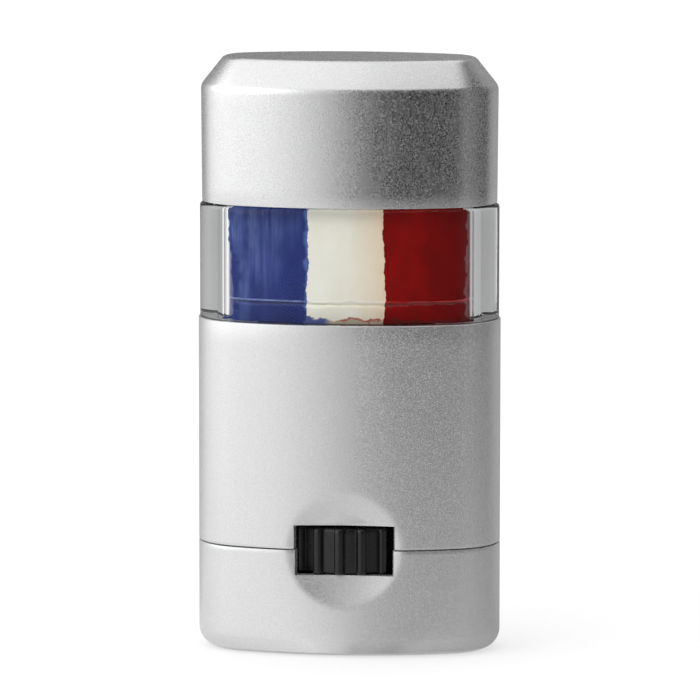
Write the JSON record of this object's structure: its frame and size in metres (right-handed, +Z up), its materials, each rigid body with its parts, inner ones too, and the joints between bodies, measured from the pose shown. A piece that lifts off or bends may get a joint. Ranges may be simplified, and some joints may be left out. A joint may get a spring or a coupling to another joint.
{
  "type": "body paint stick",
  "caption": "Flat oval body paint stick: silver case, clear window, pull-off cap, and a ribbed thumb wheel that screws side-by-side paint bars up.",
  "frame": {"origin": "middle of the flat foot of the base", "axes": "+Z up through the stick to the cap, -Y out of the pictured front, +X to the right in that view"},
  "size_m": [0.033, 0.016, 0.065],
  "materials": {
    "silver_case": "satin silver coating with a fine metallic grain",
    "silver_cap": "satin silver coating with a fine metallic grain",
    "clear_barrel": "clear, polished",
    "black_wheel": "satin moulded black",
    "natural_plastic": "uncoloured moulded plastic",
    "blue_paint": "waxy",
    "white_paint": "waxy",
    "red_paint": "waxy"
  },
  "bodies": {
    "housing": {"base": "silver_case", "sleeve": "silver_case", "window_barrel": "clear_barrel"},
    "dial": {"thumb_wheel": "black_wheel", "lead_screw": "natural_plastic"},
    "stick": {"paint_cup": "natural_plastic", "paint_blue": "blue_paint", "paint_white": "white_paint", "paint_red": "red_paint"},
    "closure": {"cap": "silver_cap"}
  },
  "joints": [
    {"name": "wheel_turn", "type": "hinge", "parent": "housing", "child": "dial", "pos_m": [0, 0, 0.0118], "axis": [0, 0, 1], "range_deg": [0, 1080.1]},
    {"name": "paint_lift", "type": "slide", "parent": "housing", "child": "stick", "axis": [0, 0, 1], "range_m": [0, 0.009]},
    {"name": "cap_pull", "type": "slide", "parent": "housing", "child": "closure", "axis": [0, 0, 1], "range_m": [0, 0.03]}
  ],
  "couplings": [
    {"joint": "wheel_turn", "follows": "paint_lift", "rad_per_m": 2094.4}
  ]
}
